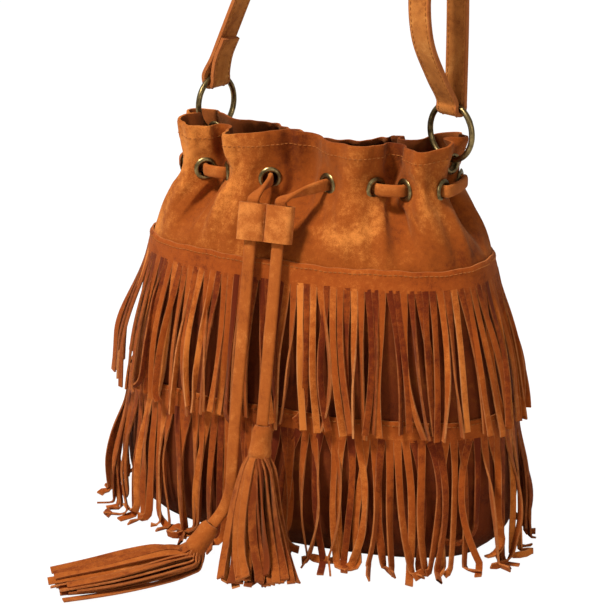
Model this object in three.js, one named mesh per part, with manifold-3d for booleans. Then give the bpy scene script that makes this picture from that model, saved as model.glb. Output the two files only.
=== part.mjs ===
import * as THREE from 'three';
import { mergeVertices } from 'three/addons/utils/BufferGeometryUtils.js';
import Module from 'manifold-3d';

// A drawstring bucket bag in suede with two tiers of fringe. Millimetres, the front is -Y,
// up is +Z, and the bag stands on its base with the origin at the middle of the base.

// Body: full widths and depths of the oval at each level
const BAG_HEIGHT = 288;
const FOOT_WIDTH = 246;
const FOOT_DEPTH = 98;
const HEEL_WIDTH = 280;
const HEEL_DEPTH = 126;
const HEEL_RISE = 18;
const BELLY_WIDTH = 288;
const BELLY_DEPTH = 134;
const BELLY_RISE = 62;
const SEAM_WIDTH = 240;
const SEAM_DEPTH = 114;
const NECK_WIDTH = 198;
const NECK_DEPTH = 60;
const MOUTH_WIDTH = 206;
const MOUTH_DEPTH = 56;
const OVAL_POWER = 2.5;
const SUEDE = 2.4;
const BASE_BOARD = 3;
const YOKE = 78;
const FIT = 0.3;
const SIDE_SEAM_SHARE = 0.0005;

// Gathers: where each ridge stands, as a share of the way round from the middle of the front
const RIDGES = [-0.4, -0.285, -0.195, -0.103, 0.09, 0.185, 0.31, 0.41];
const FOLD_DEPTH = 8;
const MOUTH_FOLD = 6.5;
const LACE_PHASES = [0.25, 0.75];
const LEFT_SIDE_PHASES = [0.22, 0.6];
const RIGHT_SIDE_PHASES = [0.22, 0.78];
const LEFT_RING_PHASE = 0.83;
const RIGHT_RING_PHASE = 0.56;

// Eyelets and rings
const EYELET_DROP = 30;
const RING_EYELET_DROP = 15;
const EYELET_WALL = 0.9;
const EYELET_RIM = 3;
const FLANGE_THICK = 1;
const EYELET_SIDES = 8;
const RING_OUTER = 42;
const RING_WIRE = 4;
const RING_PLAY = 1;
const LEFT_RING_ANGLE = 74;
const RIGHT_RING_ANGLE = -25;

// Fringe
const FRINGE = 1.4;
const FRINGE_LENGTH = 112;
const FRINGE_BAND = 14;
const STRIP_PITCH = 10;
const SLIT = 1.2;
const TIER_STEP = 102;
const UPPER_FLARE = 5;
const LOWER_FLARE = 4;
const FRINGE_GAP = 0.6;
const FLOOR_GAP = 0.6;

// Drawstring, its stop and its tassels
const LACE_WIDTH = 8.4;
const LACE_THICK = 2.4;
const LACE_PASS = 5;
const LACE_SPACING = 20;
const LACE_CENTRE = -14;
const STOP_DROP = 22;
const STOP_WIDTH = 39;
const STOP_HEIGHT = 25;
const STOP_THICK = 9;
const STOP_NOTCH = 2.2;
const STOP_STANDOFF = 17;
const LACE_PLAY = 1.5;
const LACE_STANDOFF = 25;
const TASSEL_CAP = 22;
const TASSEL_CAP_TOP = 12;
const TASSEL_CAP_FOOT = 15;
const TASSEL_SPREAD = 36;
const TASSEL_FLAT = 9;
const TASSEL_NECK = 7;
const TASSEL_FLUTES = 9;
const RIGHT_TASSEL_RISE = 104;
const LEFT_LACE_FOOT = [[-24, -97, 78], [-25, -99, 56], [-29, -102, 42], [-35, -107, 32]];
const LEFT_TASSEL_PATH = [[-62, -132, 8.4], [-88, -158, 6], [-114, -184, 5.2]];
const RIGHT_TASSEL_PATH = [[-4, -104, 48], [-2, -109, 22], [3, -119, 8.5], [10, -134, 5.4]];

// Shoulder strap
const STRAP_WIDTH = 18;
const STRAP_THICK = 3;
const STRAP_TAB = 28;
const STRAP_LAP = 26;
const STRAP_LEAN = 0.42;
const STRAP_DROP = 268;
const LAYER_GAP = 0.5;

// The slack run beside the right ring, as offset from the ring and height over it,
// and the bend over the shoulder, as x, y, drop below the crown and turn of the width
const SLACK_RUN = [[14, 18], [29, 48], [31, 84], [18, 112]];
const LAP_OFFSET = -2;
const CROWN = [[-26, 14, 122, 62], [-2, 14, 52, 52], [24, 13, 8, 40], [46, 12, 2, 28], [70, 12, 24, 6]];

const SEAM_RISE = BAG_HEIGHT - YOKE;
const LOWER_SEAM_RISE = SEAM_RISE - TIER_STEP;
const NECK_RISE = BAG_HEIGHT - EYELET_DROP;
const RING_EYELET_RISE = BAG_HEIGHT - RING_EYELET_DROP;
const RING_RADIUS = (RING_OUTER - RING_WIRE) / 2;
const EYELET_BORE = (Math.hypot(LACE_WIDTH, LACE_THICK) + 2 * FIT) / Math.cos(Math.PI / EYELET_SIDES);
const EYELET_FLANGE = EYELET_BORE + 2 * EYELET_RIM;

const SUEDE_COLOUR = '#b06a2c';
const BRASS_COLOUR = '#8a744a';
const UP = new THREE.Vector3(0, 0, 1);
const bag = new THREE.Group();
const wasm = await Module();
wasm.setup();

function add(name, geometry, colour, roughness, metalness) {
  const material = new THREE.MeshStandardMaterial({ color: colour, roughness, metalness });
  const mesh = new THREE.Mesh(geometry, material);
  mesh.name = name;
  bag.add(mesh);
  return mesh;
}

function addSuede(name, geometry) {
  return add(name, geometry, SUEDE_COLOUR, 0.95, 0);
}

function addBrass(name, geometry) {
  return add(name, geometry, BRASS_COLOUR, 0.35, 1);
}

function meshOf(positions, faces) {
  const geometry = new THREE.BufferGeometry();
  geometry.setAttribute('position', new THREE.Float32BufferAttribute(positions, 3));
  geometry.setIndex(faces);
  return geometry;
}

// Joins and cuts

function solidOf(geometry) {
  const bare = geometry.clone();
  bare.deleteAttribute('normal');
  bare.deleteAttribute('uv');
  const merged = mergeVertices(bare, 1e-4);
  return new wasm.Manifold(new wasm.Mesh({
    numProp: 3,
    vertProperties: new Float32Array(merged.attributes.position.array),
    triVerts: new Uint32Array(merged.index.array),
  }));
}

function cut(geometry, cutters) {
  let solid = solidOf(geometry);
  for (const cutter of cutters) {
    solid = solid.subtract(solidOf(cutter));
  }
  const mesh = solid.getMesh();
  return meshOf(Array.from(mesh.vertProperties), Array.from(mesh.triVerts));
}

// The oval of the wall at a level, measured by its share of the way round

const silhouette = new THREE.CatmullRomCurve3([
  new THREE.Vector3(FOOT_WIDTH / 2, FOOT_DEPTH / 2, 0),
  new THREE.Vector3(HEEL_WIDTH / 2, HEEL_DEPTH / 2, HEEL_RISE),
  new THREE.Vector3(BELLY_WIDTH / 2, BELLY_DEPTH / 2, BELLY_RISE),
  new THREE.Vector3(SEAM_WIDTH / 2, SEAM_DEPTH / 2, SEAM_RISE),
  new THREE.Vector3(NECK_WIDTH / 2, NECK_DEPTH / 2, NECK_RISE),
  new THREE.Vector3(MOUTH_WIDTH / 2, MOUTH_DEPTH / 2, BAG_HEIGHT),
], false, 'centripetal');

function outlineAt(rise) {
  let low = 0;
  let high = 1;
  for (let step = 0; step < 40; step += 1) {
    const middle = (low + high) / 2;
    if (silhouette.getPoint(middle).z < rise) {
      low = middle;
    } else {
      high = middle;
    }
  }
  return silhouette.getPoint(high);
}

const OVAL_SAMPLES = 720;
const ovals = new Map();

function rounded(value) {
  return Math.sign(value) * Math.abs(value) ** (2 / OVAL_POWER);
}

function ovalAt(rise) {
  if (!ovals.has(rise)) {
    const outline = outlineAt(rise);
    const points = [];
    const lengths = [];
    for (let k = 0; k <= OVAL_SAMPLES; k += 1) {
      const turn = (2 * Math.PI * k) / OVAL_SAMPLES;
      const point = new THREE.Vector2(
        outline.x * rounded(Math.sin(turn)),
        -outline.y * rounded(Math.cos(turn)),
      );
      lengths.push(k === 0 ? 0 : lengths[k - 1] + point.distanceTo(points[k - 1]));
      points.push(point);
    }
    ovals.set(rise, { points, lengths });
  }
  return ovals.get(rise);
}

function ovalPoint(share, rise) {
  const { points, lengths } = ovalAt(rise);
  const goal = (share - Math.floor(share)) * lengths[OVAL_SAMPLES];
  let low = 0;
  let high = OVAL_SAMPLES;
  while (high - low > 1) {
    const middle = Math.floor((low + high) / 2);
    if (lengths[middle] <= goal) {
      low = middle;
    } else {
      high = middle;
    }
  }
  const part = (goal - lengths[low]) / (lengths[high] - lengths[low]);
  return points[low].clone().lerp(points[high], part);
}

// The gathered wall: ridges and valleys grow from the seam to the neck

const NUDGE = 0.003;

function outwardOf(place, share, rise) {
  const along = place(share + NUDGE, rise).sub(place(share - NUDGE, rise)).normalize();
  return new THREE.Vector2(along.y, -along.x);
}

function valleyAt(index) {
  const next = index + 1 < RIDGES.length ? RIDGES[index + 1] : RIDGES[0] + 1;
  return { from: RIDGES[index], to: next };
}

function shareIn(index, phase) {
  const valley = valleyAt(index);
  return THREE.MathUtils.lerp(valley.from, valley.to, phase);
}

function ridgeShape(share) {
  const wrapped = share - Math.floor(share - RIDGES[0]);
  const index = RIDGES.findLastIndex((ridge) => ridge <= wrapped);
  const valley = valleyAt(index);
  return Math.cos((2 * Math.PI * (wrapped - valley.from)) / (valley.to - valley.from));
}

function foldDepth(rise) {
  const gathered = THREE.MathUtils.smoothstep(rise, SEAM_RISE, NECK_RISE);
  const above = THREE.MathUtils.smoothstep(rise, NECK_RISE, BAG_HEIGHT);
  return gathered * THREE.MathUtils.lerp(FOLD_DEPTH, MOUTH_FOLD, above);
}

function foldedPoint(share, rise) {
  const fold = foldDepth(rise) * ridgeShape(share);
  return ovalPoint(share, rise).addScaledVector(outwardOf(ovalPoint, share, rise), fold);
}

function wallPoint(share, rise, outset) {
  const at = foldedPoint(share, rise).addScaledVector(outwardOf(foldedPoint, share, rise), outset);
  return new THREE.Vector3(at.x, at.y, rise);
}

function wallOutward(share, rise) {
  const out = outwardOf(foldedPoint, share, rise);
  return new THREE.Vector3(out.x, out.y, 0);
}

// A sheet of suede over a grid. skin gives the inner (0) and outer (1) point of each grid corner,
// and a cell that isn't present leaves a slit.

function sheet(columns, rows, skin, present) {
  const positions = [];
  const faces = [];
  const made = new Map();
  const corner = (i, j, side) => {
    const key = (i * rows + j) * 2 + side;
    if (!made.has(key)) {
      made.set(key, positions.length / 3);
      positions.push(...skin(i, j, side).toArray());
    }
    return made.get(key);
  };
  const quad = (a, b, c, d) => faces.push(a, b, c, a, c, d);
  const has = (i, j) => i >= 0 && j >= 0 && i < columns - 1 && j < rows - 1 && present(i, j);
  for (let i = 0; i < columns - 1; i += 1) {
    for (let j = 0; j < rows - 1; j += 1) {
      if (has(i, j)) {
        const [a, b, c, d] = [[i, j], [i + 1, j], [i + 1, j + 1], [i, j + 1]]
          .map(([x, y]) => [corner(x, y, 0), corner(x, y, 1)]);
        quad(a[1], b[1], c[1], d[1]);
        quad(a[0], d[0], c[0], b[0]);
        const sides = [
          [a, b, has(i, j - 1)],
          [b, c, has(i + 1, j)],
          [c, d, has(i, j + 1)],
          [d, a, has(i - 1, j)],
        ];
        for (const [start, end, shared] of sides) {
          if (!shared) {
            quad(start[0], end[0], end[1], start[1]);
          }
        }
      }
    }
  }
  return meshOf(positions, faces);
}

// A sweep through stations: at is the middle, wide the direction of the width.
// section holds points of a unit outline, in order round it.

const RIBBON = [[0.5, 0.5], [-0.5, 0.5], [-0.5, -0.5], [0.5, -0.5]];

function flutedOutline() {
  const outline = [];
  for (let k = 0; k < 2 * TASSEL_FLUTES; k += 1) {
    const turn = (Math.PI * k) / TASSEL_FLUTES;
    const reach = k % 2 === 0 ? 0.5 : 0.41;
    outline.push([reach * Math.cos(turn), reach * Math.sin(turn)]);
  }
  return outline;
}

function sweep(stations, section, stepsPerSpan) {
  const curve = (read) => new THREE.CatmullRomCurve3(stations.map(read), false, 'centripetal');
  const middle = curve((station) => station.at);
  const wides = curve((station) => station.wide);
  const sizes = curve((station) => new THREE.Vector3(station.width, station.thick, 0));
  const steps = (stations.length - 1) * stepsPerSpan;
  const count = section.length;
  const positions = [];
  const faces = [];
  for (let k = 0; k <= steps; k += 1) {
    const t = k / steps;
    const along = middle.getTangent(t);
    const wide = wides.getPoint(t);
    wide.addScaledVector(along, -wide.dot(along)).normalize();
    const thin = along.clone().cross(wide);
    const size = sizes.getPoint(t);
    for (const [u, v] of section) {
      const point = middle.getPoint(t).addScaledVector(wide, u * size.x).addScaledVector(thin, v * size.y);
      positions.push(...point.toArray());
    }
  }
  for (let k = 0; k < steps; k += 1) {
    for (let i = 0; i < count; i += 1) {
      const a = k * count + i;
      const b = k * count + ((i + 1) % count);
      faces.push(a, b, b + count, a, b + count, a + count);
    }
  }
  const first = positions.length / 3;
  positions.push(...stations[0].at.toArray());
  positions.push(...stations[stations.length - 1].at.toArray());
  for (let i = 0; i < count; i += 1) {
    const next = (i + 1) % count;
    faces.push(first, next, i);
    faces.push(first + 1, steps * count + i, steps * count + next);
  }
  return meshOf(positions, faces);
}

// Eyelets: a barrel with a rolled flange on each side of the wall

const FLANGE_SEAT = SUEDE / 2 + FIT;
const EYELET_HALF = FLANGE_SEAT + FLANGE_THICK;

function eyeletGeometry() {
  const bore = EYELET_BORE / 2;
  const barrel = bore + EYELET_WALL;
  const flange = EYELET_FLANGE / 2;
  return new THREE.LatheGeometry([
    new THREE.Vector2(bore, -EYELET_HALF),
    new THREE.Vector2(flange, -FLANGE_SEAT),
    new THREE.Vector2(barrel, -FLANGE_SEAT),
    new THREE.Vector2(barrel, FLANGE_SEAT),
    new THREE.Vector2(flange, FLANGE_SEAT),
    new THREE.Vector2(bore, EYELET_HALF),
    new THREE.Vector2(bore, -EYELET_HALF),
  ], EYELET_SIDES);
}

// What the wall leaves free for an eyelet: the punched hole, and the bed of each flange
function eyeletRoom() {
  const hole = EYELET_BORE / 2 + EYELET_WALL + FIT;
  const flange = EYELET_FLANGE / 2 + FIT;
  const far = 2 * EYELET_HALF;
  return new THREE.LatheGeometry([
    new THREE.Vector2(0, -far),
    new THREE.Vector2(flange, -far),
    new THREE.Vector2(flange, -SUEDE / 2),
    new THREE.Vector2(hole, -SUEDE / 2),
    new THREE.Vector2(hole, SUEDE / 2),
    new THREE.Vector2(flange, SUEDE / 2),
    new THREE.Vector2(flange, far),
    new THREE.Vector2(0, far),
  ], EYELET_SIDES);
}

function eyeletPlace(share, rise) {
  return { share, centre: wallPoint(share, rise, 0), outward: wallOutward(share, rise) };
}

function phasesOf(index) {
  const valley = valleyAt(index);
  if (valley.from < 0.25 && valley.to > 0.25) {
    return RIGHT_SIDE_PHASES;
  }
  return index === 0 ? LEFT_SIDE_PHASES : LACE_PHASES;
}

const RIGHT_SIDE_VALLEY = RIDGES.findLastIndex((ridge) => ridge < 0.25);
const FRONT_VALLEY = RIDGES.findLastIndex((ridge) => ridge < 0);
const laceEyelets = RIDGES.flatMap((ridge, index) => (
  phasesOf(index).map((phase) => eyeletPlace(shareIn(index, phase), NECK_RISE))
));
const ringEyelets = {
  left: eyeletPlace(shareIn(0, LEFT_RING_PHASE), RING_EYELET_RISE),
  right: eyeletPlace(shareIn(RIGHT_SIDE_VALLEY, RIGHT_RING_PHASE), RING_EYELET_RISE),
};

function turnTo(place) {
  const turn = new THREE.Quaternion().setFromUnitVectors(new THREE.Vector3(0, 1, 0), place.outward);
  return new THREE.Matrix4().compose(place.centre, turn, new THREE.Vector3(1, 1, 1));
}

function addEyelet(name, place) {
  const eyelet = addBrass(name, eyeletGeometry());
  eyelet.applyMatrix4(turnTo(place));
}

// Walls and base

const WALL_COLUMNS = 31;
const WALL_ROWS = [
  0,
  HEEL_RISE,
  BELLY_RISE,
  (BELLY_RISE + SEAM_RISE) / 2,
  SEAM_RISE,
  (SEAM_RISE + NECK_RISE) / 2,
  NECK_RISE - EYELET_FLANGE / 2,
  NECK_RISE + EYELET_FLANGE / 2,
  BAG_HEIGHT,
];

function addWall(name, middle) {
  const reach = 0.25 - SIDE_SEAM_SHARE;
  const shareOf = (i) => middle + reach * ((2 * i) / (WALL_COLUMNS - 1) - 1);
  const skin = (i, j, side) => wallPoint(shareOf(i), WALL_ROWS[j], (side - 0.5) * SUEDE);
  const places = [...laceEyelets, ...Object.values(ringEyelets)];
  const near = places.filter((place) => {
    const offset = place.share - middle;
    return Math.abs(offset - Math.round(offset)) < 0.28;
  });
  const rooms = near.map((place) => eyeletRoom().applyMatrix4(turnTo(place)));
  addSuede(name, cut(sheet(WALL_COLUMNS, WALL_ROWS.length, skin, () => true), rooms));
}

function addBase() {
  const outline = new THREE.Shape();
  const sides = 48;
  for (let k = 0; k < sides; k += 1) {
    const at = wallPoint(k / sides, 0, -SUEDE / 2 - FIT);
    if (k === 0) {
      outline.moveTo(at.x, at.y);
    } else {
      outline.lineTo(at.x, at.y);
    }
  }
  addSuede('base_panel', new THREE.ExtrudeGeometry(outline, { depth: BASE_BOARD, bevelEnabled: false }));
}

addWall('front_panel', 0);
addWall('back_panel', 0.5);
addBase();

// Fringe: a sewn band cut into strips that hang over the belly and reach the floor

function addFringe(name, middle, top, flare) {
  const reach = 0.25 - SIDE_SEAM_SHARE;
  const lengths = ovalAt(BELLY_RISE).lengths;
  const half = lengths[OVAL_SAMPLES] * reach * 2;
  const strips = Math.round(half / STRIP_PITCH);
  const slitShare = (SLIT / half) * reach * 2;
  const stripShare = (reach * 2 + slitShare) / strips;
  const length = Math.min(FRINGE_LENGTH, top - FLOOR_GAP);
  const bend = Math.min(top - BELLY_RISE, length / 2);
  const rows = [length, bend, FRINGE_BAND, 0];
  const skin = (i, j, side) => {
    const share = middle - reach + Math.floor(i / 2) * stripShare + (i % 2) * (stripShare - slitShare);
    const along = rows[j];
    const outset = SUEDE / 2 + FRINGE_GAP + (flare * along) / length + side * FRINGE;
    const point = wallPoint(share, Math.max(top - along, BELLY_RISE), outset);
    point.z = top - along;
    return point;
  };
  const bandRow = rows.length - 2;
  const present = (i, j) => j === bandRow || i % 2 === 0;
  addSuede(name, sheet(2 * strips, rows.length, skin, present));
}

addFringe('upper_fringe_front', 0, SEAM_RISE, UPPER_FLARE);
addFringe('upper_fringe_back', 0.5, SEAM_RISE, UPPER_FLARE);
addFringe('lower_fringe_front', 0, LOWER_SEAM_RISE, LOWER_FLARE);
addFringe('lower_fringe_back', 0.5, LOWER_SEAM_RISE, LOWER_FLARE);

laceEyelets.forEach((place, index) => {
  addEyelet(`lace_eyelet_${index + 1}`, place);
});
addEyelet('ring_eyelet_left', ringEyelets.left);
addEyelet('ring_eyelet_right', ringEyelets.right);

// Rings, each through its eyelet, drawn up against the bore by the strap

function ringDirection(angle) {
  const turn = THREE.MathUtils.degToRad(angle);
  return new THREE.Vector3(Math.cos(turn), Math.sin(turn), 0);
}

function ringCentre(place) {
  const lift = EYELET_BORE / 2 - RING_WIRE / 2 - RING_PLAY + RING_RADIUS;
  return place.centre.clone().addScaledVector(UP, lift);
}

function addRing(name, place, angle) {
  const ring = addBrass(name, new THREE.TorusGeometry(RING_RADIUS, RING_WIRE / 2, 8, 20));
  ring.quaternion.setFromUnitVectors(UP, ringDirection(angle).cross(UP));
  ring.position.copy(ringCentre(place));
}

addRing('ring_left', ringEyelets.left, LEFT_RING_ANGLE);
addRing('ring_right', ringEyelets.right, RIGHT_RING_ANGLE);

// Drawstring: both free ends hang side by side in front, along one straight line that the stop slides on

const stopRise = NECK_RISE - STOP_DROP;
const stopFront = wallPoint(0, stopRise, SUEDE / 2 + STOP_THICK / 2).y - STOP_STANDOFF;
const lineTop = new THREE.Vector3(LACE_CENTRE, stopFront, stopRise);
const lineFoot = new THREE.Vector3(LACE_CENTRE, -BELLY_DEPTH / 2 - LACE_STANDOFF, RIGHT_TASSEL_RISE);
const lineUp = lineTop.clone().sub(lineFoot).normalize();
const ACROSS = new THREE.Vector3(1, 0, 0);

function laceAt(at, wide) {
  return { at, wide, width: LACE_WIDTH, thick: LACE_THICK };
}

function hangingLace(side, below) {
  const shift = new THREE.Vector3((side * LACE_SPACING) / 2, 0, 0);
  const stations = [
    lineTop.clone().addScaledVector(lineUp, STOP_HEIGHT / 2 + 3),
    lineTop.clone().addScaledVector(lineUp, STOP_HEIGHT / 2),
    lineTop,
    lineTop.clone().lerp(lineFoot, 0.5),
    lineTop.clone().lerp(lineFoot, 0.9),
    lineFoot,
  ].map((point) => laceAt(point.clone().add(shift), ACROSS));
  return [...stations, ...below.map(([x, y, z]) => laceAt(new THREE.Vector3(x, y, z), ACROSS))];
}

// The left end runs on down to the floor, where its tassel lies
const leftHang = hangingLace(-1, LEFT_LACE_FOOT);
const rightHang = hangingLace(1, []);

// Out over each valley and in behind each ridge, right round from one front eyelet to the other
function threadedLace() {
  const order = [];
  for (let k = 0; k < RIDGES.length; k += 1) {
    const index = (FRONT_VALLEY - k + RIDGES.length) % RIDGES.length;
    const [first, second] = [laceEyelets[2 * index], laceEyelets[2 * index + 1]];
    order.push(...(k === 0 ? [first] : [second, first]));
  }
  order.push(laceEyelets[2 * FRONT_VALLEY + 1]);
  const stations = [];
  order.forEach((place, step) => {
    const goesIn = step % 2 === 0 ? 1 : -1;
    for (const reach of [LACE_PASS * goesIn, 0, -LACE_PASS * goesIn]) {
      stations.push(laceAt(place.centre.clone().addScaledVector(place.outward, reach), UP));
    }
  });
  return stations;
}

addSuede('drawstring', sweep([...leftHang.toReversed(), ...threadedLace(), ...rightHang], RIBBON, 2));

// The stop: one band of suede sewn down its middle into two channels
function stopGeometry() {
  const half = STOP_THICK / 2;
  const end = STOP_WIDTH / 2 - half;
  const outline = new THREE.Shape();
  outline.moveTo(-half, -half);
  outline.lineTo(0, -half + STOP_NOTCH);
  outline.lineTo(half, -half);
  outline.lineTo(end, -half);
  outline.absarc(end, 0, half, -Math.PI / 2, Math.PI / 2);
  outline.lineTo(half, half);
  outline.lineTo(0, half - STOP_NOTCH);
  outline.lineTo(-half, half);
  outline.absarc(-end, 0, half, Math.PI / 2, (3 * Math.PI) / 2);
  for (const side of [-1, 1]) {
    const channel = new THREE.Path();
    const wide = LACE_WIDTH / 2 + LACE_PLAY;
    const deep = LACE_THICK / 2 + LACE_PLAY;
    channel.absellipse((side * LACE_SPACING) / 2, 0, wide, deep, 0, 2 * Math.PI, true);
    outline.holes.push(channel);
  }
  const depth = STOP_HEIGHT;
  const geometry = new THREE.ExtrudeGeometry(outline, { depth, bevelEnabled: false, curveSegments: 6 });
  return geometry.translate(0, 0, -depth / 2);
}

const stop = addSuede('lace_stop', stopGeometry());
stop.quaternion.setFromRotationMatrix(
  new THREE.Matrix4().makeBasis(ACROSS, lineUp.clone().cross(ACROSS), lineUp),
);
stop.position.copy(lineTop);

// Tassels: a wrapped cap on the end of the lace, and a bundle of strips

function addTassel(side, lace, path) {
  const end = lace[lace.length - 1].at;
  const before = lace[lace.length - 2].at;
  const along = end.clone().sub(before).normalize();
  const top = end.clone().addScaledVector(along, FIT);
  const foot = top.clone().addScaledVector(along, TASSEL_CAP);
  const cap = [
    { at: top, wide: ACROSS, width: TASSEL_CAP_TOP, thick: TASSEL_CAP_TOP },
    { at: foot, wide: ACROSS, width: TASSEL_CAP_FOOT, thick: TASSEL_CAP_FOOT },
  ];
  const round = Array.from({ length: 12 }, (_, k) => [
    0.5 * Math.cos((Math.PI * k) / 6),
    0.5 * Math.sin((Math.PI * k) / 6),
  ]);
  addSuede(`tassel_cap_${side}`, sweep(cap, round, 1));
  const start = foot.clone().addScaledVector(along, FIT);
  const below = start.clone().addScaledVector(along, TASSEL_NECK);
  const places = [start, below, ...path.map(([x, y, z]) => new THREE.Vector3(x, y, z))];
  const strips = places.map((at, index) => {
    const part = index / (places.length - 1);
    const last = places[places.length - 1].clone().sub(places[places.length - 2]);
    const flat = new THREE.Vector3(-last.y, last.x, 0).normalize();
    return {
      at,
      wide: ACROSS.clone().multiplyScalar(Math.sign(flat.x)).lerp(flat, part),
      width: THREE.MathUtils.lerp(TASSEL_CAP_FOOT - 1, TASSEL_SPREAD, part),
      thick: THREE.MathUtils.lerp(TASSEL_CAP_FOOT - 1, TASSEL_FLAT, Math.min(1, part * 1.5)),
    };
  });
  addSuede(`tassel_strips_${side}`, sweep(strips, flutedOutline(), 2));
}

addTassel('left', leftHang, LEFT_TASSEL_PATH);
addTassel('right', rightHang, RIGHT_TASSEL_PATH);

// Shoulder strap: one length, looped and sewn at the left ring, over the shoulder,
// through the right ring and back up to a sewn lap

const loopHalf = RING_WIRE / 2 + STRAP_THICK / 2 + FIT * 2;
const ringSag = RING_RADIUS - Math.sqrt(RING_RADIUS ** 2 - (STRAP_WIDTH / 2) ** 2);
const layerHalf = (STRAP_THICK + LAYER_GAP) / 2;
const leftTop = ringCentre(ringEyelets.left).addScaledVector(UP, RING_RADIUS);
const rightTop = ringCentre(ringEyelets.right).addScaledVector(UP, RING_RADIUS);
const crownRise = leftTop.z + STRAP_DROP;

function strapAt(at, angle) {
  return { at, wide: ringDirection(angle), width: STRAP_WIDTH, thick: STRAP_THICK };
}

function besideRing(top, angle, offset, height, lean) {
  const side = ringDirection(angle).cross(UP);
  const at = top.clone().addScaledVector(side, offset).addScaledVector(UP, height);
  at.x += lean * Math.max(0, height - RING_WIRE);
  return strapAt(at, angle);
}

// Half a turn under the wire, from the side given to the other; the wire dips towards the strap's edges
function loopUnder(at, side) {
  const turns = [0, 1, 2, 3, 4].map((k) => (Math.PI * k) / 4);
  return [
    at(side * loopHalf, RING_WIRE / 2),
    ...turns.map((turn) => at(side * loopHalf * Math.cos(turn), -ringSag - loopHalf * Math.sin(turn))),
    at(-side * loopHalf, RING_WIRE / 2),
  ];
}

function leftLoop() {
  const at = (offset, height) => besideRing(leftTop, LEFT_RING_ANGLE, offset, height, STRAP_LEAN);
  return [
    at(layerHalf, STRAP_TAB),
    at(layerHalf, STRAP_TAB / 2),
    ...loopUnder(at, 1),
    at(-layerHalf, STRAP_TAB / 2),
    at(-layerHalf, STRAP_TAB),
    at(-layerHalf, 2 * STRAP_TAB),
  ];
}

function rightLoop() {
  const at = (offset, height) => besideRing(rightTop, RIGHT_RING_ANGLE, offset, height, 0);
  const lapFoot = STRAP_DROP / 2;
  return [
    at(LAP_OFFSET, lapFoot + STRAP_LAP),
    at(LAP_OFFSET, lapFoot),
    at(-loopHalf, STRAP_DROP / 5),
    ...loopUnder(at, -1),
    ...SLACK_RUN.map(([offset, height]) => at(offset, height)),
    at(LAP_OFFSET + 2 * layerHalf, lapFoot + 2),
    at(LAP_OFFSET + 2 * layerHalf, lapFoot + STRAP_LAP),
  ];
}

const crown = CROWN.map(([x, y, below, angle]) => (
  strapAt(new THREE.Vector3(x, y, crownRise - below), angle)
));

addSuede('shoulder_strap', sweep([...leftLoop(), ...crown, ...rightLoop()], RIBBON, 2));

export default bag;
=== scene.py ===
import math

import bpy
import numpy as np
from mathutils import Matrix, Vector


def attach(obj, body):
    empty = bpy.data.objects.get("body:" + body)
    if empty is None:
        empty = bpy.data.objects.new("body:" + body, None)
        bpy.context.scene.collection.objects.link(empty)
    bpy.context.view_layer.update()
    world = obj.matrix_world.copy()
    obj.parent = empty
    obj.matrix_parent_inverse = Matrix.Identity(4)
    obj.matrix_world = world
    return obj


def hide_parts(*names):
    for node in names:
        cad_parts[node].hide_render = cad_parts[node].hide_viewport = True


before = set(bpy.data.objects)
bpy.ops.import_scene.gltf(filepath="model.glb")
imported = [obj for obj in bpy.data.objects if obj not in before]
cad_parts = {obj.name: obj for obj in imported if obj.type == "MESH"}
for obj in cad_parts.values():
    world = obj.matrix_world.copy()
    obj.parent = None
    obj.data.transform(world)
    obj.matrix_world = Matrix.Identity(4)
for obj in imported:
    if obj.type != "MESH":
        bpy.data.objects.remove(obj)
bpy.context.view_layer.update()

rng = np.random.default_rng(11)
MM = 0.001
UP = np.array([0.0, 0.0, 1.0])
ACROSS = np.array([1.0, 0.0, 0.0])

# Camera: turned round to the right of the front and looking down

AZIMUTH = math.radians(22.5)
ELEVATION = math.radians(18.5)
LENS = 120
DISTANCE = 1.466
AIM_ASIDE = -0.0119
AIM_UP = 0.1545
back = Vector((
    math.sin(AZIMUTH) * math.cos(ELEVATION),
    -math.cos(AZIMUTH) * math.cos(ELEVATION),
    math.sin(ELEVATION),
))
side = Vector((math.cos(AZIMUTH), math.sin(AZIMUTH), 0))
aim = side * AIM_ASIDE + back.cross(side) * AIM_UP
camera = bpy.data.objects.new("camera", bpy.data.cameras.new("camera"))
bpy.context.collection.objects.link(camera)
camera.data.lens = LENS
camera.location = aim + back * DISTANCE
camera.rotation_mode = "QUATERNION"
camera.rotation_quaternion = (-back).to_track_quat("-Z", "Y")
bpy.context.scene.camera = camera
bpy.context.scene.view_settings.view_transform = "Standard"

# Sizes of the bag, in millimetres

BAG_HEIGHT = 288
SEAM_RISE = 210
LOWER_SEAM_RISE = 108
NECK_RISE = 258
RING_EYELET_RISE = 273
BELLY_RISE = 62
LEVELS = [
    (123, 49, 0),
    (140, 63, 18),
    (144, 67, BELLY_RISE),
    (120, 57, SEAM_RISE),
    (99, 30, NECK_RISE),
    (103, 28, BAG_HEIGHT),
]
OVAL_POWER = 2.5
SUEDE = 2.4
HALF_SHARE = 0.2495
RIDGES = np.array([-0.4, -0.285, -0.195, -0.103, 0.09, 0.185, 0.31, 0.41])
VALLEYS = np.append(RIDGES, RIDGES[0] + 1)
FOLD_DEPTH = 8
MOUTH_FOLD = 6.5


# Curves and surfaces


def smoothstep(value, low, high):
    t = np.clip((np.asarray(value, float) - low) / (high - low), 0, 1)
    return t * t * (3 - 2 * t)


def signed_power(values, power):
    """Each value raised to the power, with its sign kept."""
    return np.sign(values) * np.abs(values) ** power


def unit(vectors):
    return vectors / np.linalg.norm(vectors, axis=-1, keepdims=True)


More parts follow.
